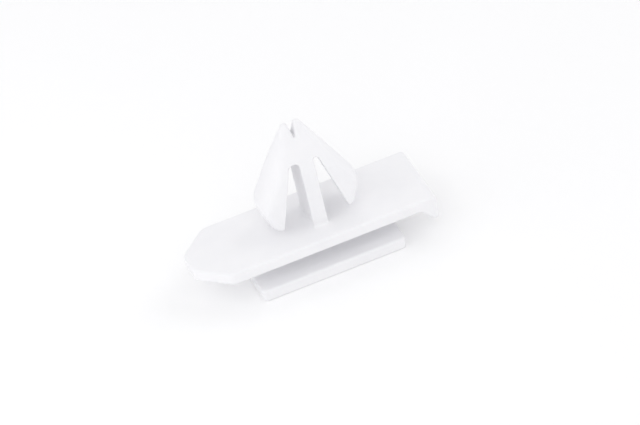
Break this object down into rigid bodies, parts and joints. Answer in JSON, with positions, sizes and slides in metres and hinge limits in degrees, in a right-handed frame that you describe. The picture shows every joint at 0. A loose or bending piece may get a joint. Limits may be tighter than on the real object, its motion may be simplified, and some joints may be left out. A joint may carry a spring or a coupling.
{
  "type": "push-in trim clip anchor",
  "caption": "One-piece plastic push-in anchor: arrowhead with two sprung wings on a tapered seat plate, over a T-shaped foot that slides into a moulding channel.",
  "frame": {"origin": "on the anchor's axis, at the plate's top face, where the clip meets the panel", "axes": "+Z is the way the anchor is pushed into the panel, +X runs along the plate towards its hooked end, +Y is across it"},
  "size_m": [0.033, 0.012, 0.0215],
  "materials": {
    "natural_plastic": "satin natural white nylon, slightly translucent"
  },
  "bodies": {
    "clip_body": {"base_plate": "natural_plastic", "end_lip": "natural_plastic", "foot_web": "natural_plastic", "foot_flange": "natural_plastic", "stem_root": "natural_plastic", "stem": "natural_plastic", "head": "natural_plastic", "left_prong": "natural_plastic", "right_prong": "natural_plastic"},
    "left_wing_body": {"left_wing": "natural_plastic", "left_barb": "natural_plastic"},
    "right_wing_body": {"right_wing": "natural_plastic", "right_barb": "natural_plastic"}
  },
  "joints": [
    {"name": "left_wing_flex", "type": "hinge", "parent": "clip_body", "child": "left_wing_body", "pos_m": [-0.00299, 0, 0.0103], "axis": [0, -1, 0], "range_deg": [0, 14], "stiffness_Nm_per_rad": 0.2},
    {"name": "right_wing_flex", "type": "hinge", "parent": "clip_body", "child": "right_wing_body", "pos_m": [0.00299, 0, 0.0103], "axis": [0, 1, 0], "range_deg": [0, 14], "stiffness_Nm_per_rad": 0.2}
  ]
}
